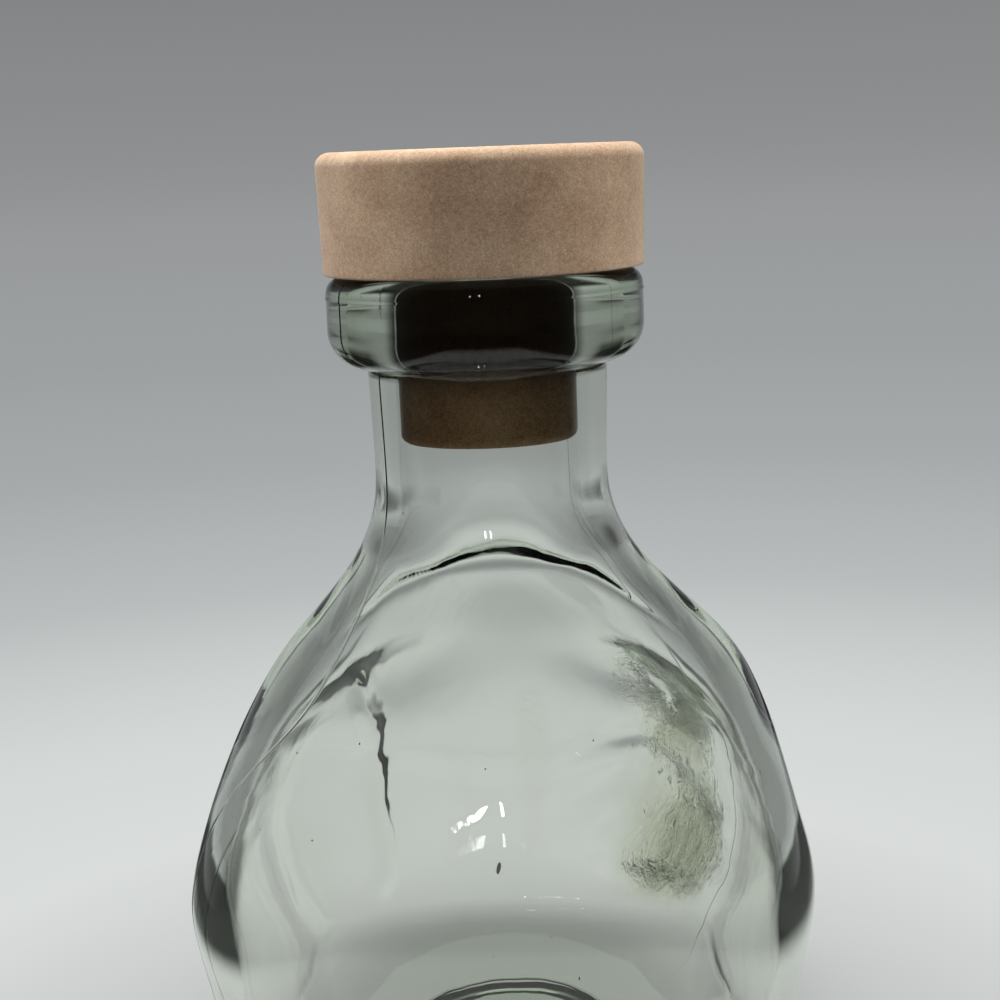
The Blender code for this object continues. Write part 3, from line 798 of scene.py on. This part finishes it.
def cork_composite(name, stops, shade_levels=(1.0, 2.0), shade_tone="ffffff"):
    """Fine-grained material of pressed cork dust, with painted shade that darkens it from one height up to another.
    """
    material = bpy.data.materials.new(name)
    tree, output = new_tree(material)
    place = add_node(tree, "ShaderNodeTexCoord")
    grain, speck, cloud = [
        add_node(tree, "ShaderNodeTexNoise", values={"Scale": 1.0 / size, "Detail": detail, "Roughness": roughness},
                 links={"Vector": place.outputs["Object"]})
        for size, detail, roughness in ((GRAIN_SIZE, 2.0, 0.7), (SPECK_SIZE, 3.0, 0.6), (CLOUD_SIZE, 2.0, 0.5))]
    broad = add_node(tree, "ShaderNodeMath", {"operation": "MULTIPLY"}, {1: CLOUD_SHARE}, {0: cloud.outputs["Fac"]})
    coarse = add_node(tree, "ShaderNodeMath", {"operation": "MULTIPLY_ADD"}, {1: SPECK_SHARE},
                      {0: speck.outputs["Fac"], 2: broad.outputs[0]})
    fine = add_node(tree, "ShaderNodeMath", {"operation": "MULTIPLY_ADD"}, {1: GRAIN_SHARE},
                    {0: grain.outputs["Fac"], 2: coarse.outputs[0]})
    tone = add_node(tree, "ShaderNodeMapRange", values={"From Min": TONE_SPAN[0], "From Max": TONE_SPAN[1]},
                    links={"Value": fine.outputs[0]})
    colour = add_node(tree, "ShaderNodeValToRGB", links={"Fac": tone.outputs["Result"]})
    colour_stops(colour, stops)
    axes = add_node(tree, "ShaderNodeSeparateXYZ", links={0: place.outputs["Object"]})
    # Painted shade: the colour is multiplied darker from the first height up to the second.
    painted_shade = add_node(tree, "ShaderNodeMapRange", {"interpolation_type": "SMOOTHSTEP"},
                      {"From Min": shade_levels[0], "From Max": shade_levels[1]}, {"Value": axes.outputs["Z"]})
    toned = add_node(tree, "ShaderNodeMix", {"data_type": "RGBA", "blend_type": "MULTIPLY"},
                     {7: (*linear(shade_tone), 1.0)},
                     {"Factor": painted_shade.outputs["Result"], 6: colour.outputs["Color"]})
    relief = add_node(tree, "ShaderNodeBump", values={"Strength": 0.5, "Distance": GRAIN_DEPTH},
                      links={"Height": grain.outputs["Fac"]})
    surface = add_node(tree, "ShaderNodeBsdfPrincipled",
                       values={"Roughness": 0.85, "Sheen Weight": 0.15, "Sheen Roughness": 0.5},
                       links={"Base Color": toned.outputs[2], "Normal": relief.outputs["Normal"]})
    tree.links.new(surface.outputs[0], output.inputs["Surface"])
    return material


sanded_composite = cork_composite("sanded_cork_composite", COMPOSITE_STOPS)

profile = [(HEAD_RADIUS * share, HEAD_UNDER) for share in (0.05, 0.35, 0.7)]
profile += arc((HEAD_RADIUS - HEAD_TAPER - HEAD_LOWER_ROUND, HEAD_UNDER + HEAD_LOWER_ROUND),
               (HEAD_LOWER_ROUND, HEAD_LOWER_ROUND), -90.0, 0.0, 5)
profile += [(HEAD_RADIUS - HEAD_TAPER * (1.0 - share), mix(HEAD_UNDER + 1.0 * MM, HEAD_TOP - 3.0 * MM, share))
            for share in (0.0, 0.25, 0.5, 0.75, 1.0)]
profile += arc((HEAD_RADIUS - HEAD_TOP_ROUND, HEAD_TOP - HEAD_TOP_ROUND),
               (HEAD_TOP_ROUND, HEAD_TOP_ROUND), 0.0, 90.0, 12)
profile += [(HEAD_RADIUS * share, HEAD_TOP) for share in (0.7, 0.35, 0.05)]
stopper_top = turned("stopper_top", profile)
stopper_top.data.materials.append(sanded_composite)
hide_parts("stopper_head")
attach(stopper_top, "stopper")


# Stopper shank: the plug under the head, glued into it, of the same composite with painted light
# that makes its tones lighter and warmer, and turned a loose fit in the bore. From 115 mm up it has
# painted shade that makes it much darker, so that it looks black in the bead, where the head and the bead shade it.

SHANK_RADIUS = 14.6 * MM
SHANK_END = 110.4 * MM
SHANK_END_ROUND = 2.0 * MM
SHANK_TOP = HEAD_UNDER + 0.4 * MM
SHANK_LEVELS = (116.0 * MM, 122.0 * MM, 128.0 * MM, 134.0 * MM)
# Painted light: these tones are lighter and warmer than the head's, for the little light that reaches the shank
# through the glass.
SHANK_LIT_STOPS = ((0.0, "8a6540"), (0.38, "c6986a"), (0.55, "d8ae80"), (1.0, "f0d4ae"))
# Painted shade: from here up the shank is darkened, where the head above and the bead round it shade it.
SHANK_SHADE_LEVELS = (115.0 * MM, 128.0 * MM)
SHANK_SHADE_TONE = "58432f"

shaded_composite = cork_composite("painted_shade_cork_composite", SHANK_LIT_STOPS, SHANK_SHADE_LEVELS, SHANK_SHADE_TONE)
profile = [(SHANK_RADIUS * share, SHANK_END) for share in (0.05, 0.4, 0.75)]
profile += arc((SHANK_RADIUS - SHANK_END_ROUND, SHANK_END + SHANK_END_ROUND),
               (SHANK_END_ROUND, SHANK_END_ROUND), -90.0, 0.0, 10)
profile += [(SHANK_RADIUS, height) for height in SHANK_LEVELS]
profile += [(SHANK_RADIUS * share, SHANK_TOP) for share in (1.0, 0.5, 0.05)]
stopper_plug = turned("stopper_plug", profile)
stopper_plug.data.materials.append(shaded_composite)
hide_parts("stopper_shank")
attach(stopper_plug, "stopper")
